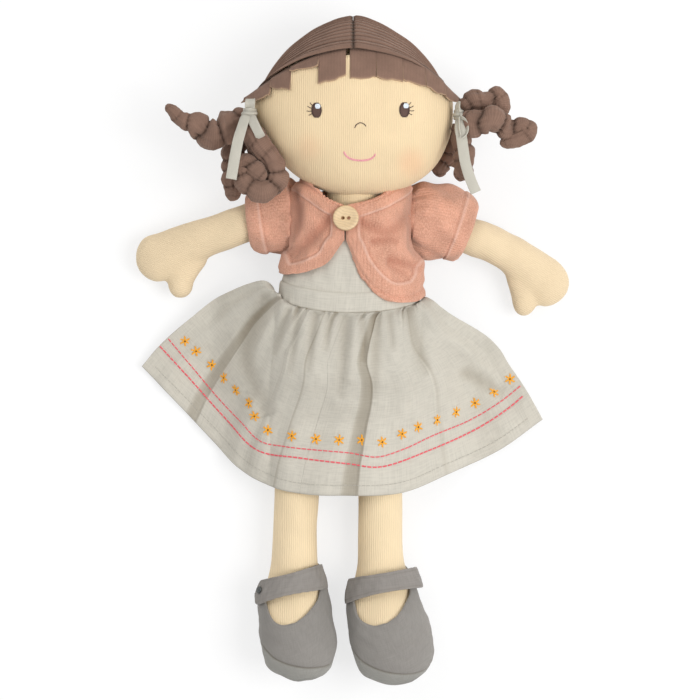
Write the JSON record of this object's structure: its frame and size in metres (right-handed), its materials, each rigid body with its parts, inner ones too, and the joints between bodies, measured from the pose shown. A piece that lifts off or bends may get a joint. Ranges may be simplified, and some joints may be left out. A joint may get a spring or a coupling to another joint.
{
  "type": "rag doll",
  "caption": "Soft rag doll with curled bunches, a pleated brown hair cap, a coral jacket with a wooden button, a gathered dress and strap shoes, lying on its back.",
  "frame": {"origin": "centre of the doll's outline, on the surface that its back rests on", "axes": "+X towards the doll's left, +Y towards the top of the head, +Z from the back to the front"},
  "size_m": [0.2495, 0.3809, 0.0747],
  "materials": {
    "skin": "matte",
    "hair": "matte",
    "dress": "matte",
    "jacket": "matte",
    "shoe": "matte",
    "shoe_sole": "matte",
    "ribbon": "satin",
    "button_wood": "satin",
    "stud_metal": "satin"
  },
  "bodies": {
    "torso": {"torso": "skin", "bodice": "dress", "waistband": "dress", "skirt_front": "dress", "skirt_back": "dress", "jacket_back": "jacket", "jacket_front_left": "jacket", "jacket_front_right": "jacket", "sleeve_left": "jacket", "sleeve_right": "jacket", "button": "button_wood"},
    "neck": {"neck": "skin"},
    "head": {"head": "skin", "hair_cap_right": "hair", "hair_cap_left": "hair", "fringe_right": "hair", "fringe_left": "hair"},
    "pigtail_right": {"curl_right_outer": "hair", "curl_right_front": "hair", "curl_right_back": "hair", "curl_right_inner": "hair", "ribbon_knot_right": "ribbon", "ribbon_loop_right": "ribbon", "ribbon_tail_right": "ribbon"},
    "pigtail_left": {"curl_left_upper": "hair", "curl_left_outer": "hair", "curl_left_lower": "hair", "curl_left_inner": "hair", "ribbon_knot_left": "ribbon", "ribbon_loop_left": "ribbon", "ribbon_tail_left": "ribbon"},
    "arm_right": {"arm_right": "skin"},
    "arm_left": {"arm_left": "skin"},
    "leg_right": {"leg_right": "skin", "shoe_upper_right": "shoe", "shoe_sole_right": "shoe_sole", "shoe_stud_base_right": "stud_metal"},
    "leg_left": {"leg_left": "skin", "shoe_upper_left": "shoe", "shoe_sole_left": "shoe_sole", "shoe_stud_base_left": "stud_metal"},
    "strap_right": {"shoe_strap_right": "shoe", "shoe_stud_cap_right": "stud_metal"},
    "strap_left": {"shoe_strap_left": "shoe", "shoe_stud_cap_left": "stud_metal"}
  },
  "joints": [
    {"name": "neck_nod", "type": "hinge", "parent": "torso", "child": "neck", "pos_m": [0.002, 0.078, 0.0285], "axis": [1, 0, 0], "range_deg": [-10, 14]},
    {"name": "neck_turn", "type": "hinge", "parent": "neck", "child": "head", "pos_m": [0.002, 0.078, 0.0285], "axis": [0, 1, 0], "range_deg": [-12, 12]},
    {"name": "pigtail_swing_right", "type": "hinge", "parent": "head", "child": "pigtail_right", "pos_m": [-0.0579, 0.1326, 0.049], "axis": [0, 0, -1], "range_deg": [0, 25]},
    {"name": "pigtail_swing_left", "type": "hinge", "parent": "head", "child": "pigtail_left", "pos_m": [0.0596, 0.1318, 0.047], "axis": [0, 0, 1], "range_deg": [0, 25]},
    {"name": "shoulder_right", "type": "hinge", "parent": "torso", "child": "arm_right", "pos_m": [-0.0426, 0.077, 0.024], "axis": [0, 1, 0], "range_deg": [0, 90], "deforming": ["sleeve_right"]},
    {"name": "shoulder_left", "type": "hinge", "parent": "torso", "child": "arm_left", "pos_m": [0.0426, 0.077, 0.024], "axis": [0, -1, 0], "range_deg": [0, 90], "deforming": ["sleeve_left"]},
    {"name": "hip_right", "type": "hinge", "parent": "torso", "child": "leg_right", "pos_m": [-0.0301, -0.02945, 0.0153], "axis": [-1, 0, 0], "range_deg": [0, 85], "deforming": ["skirt_front"]},
    {"name": "hip_left", "type": "hinge", "parent": "torso", "child": "leg_left", "pos_m": [0.0162, -0.02945, 0.0153], "axis": [-1, 0, 0], "range_deg": [0, 85], "deforming": ["skirt_front"]},
    {"name": "strap_fold_right", "type": "hinge", "parent": "leg_right", "child": "strap_right", "pos_m": [-0.01613, -0.12962, 0.02079], "axis": [-0.2734, 0.9611, -0.0385], "range_deg": [0, 72]},
    {"name": "strap_fold_left", "type": "hinge", "parent": "leg_left", "child": "strap_left", "pos_m": [-0.0005, -0.13685, 0.02366], "axis": [-0.1715, -0.9658, 0.1943], "range_deg": [0, 72]}
  ]
}
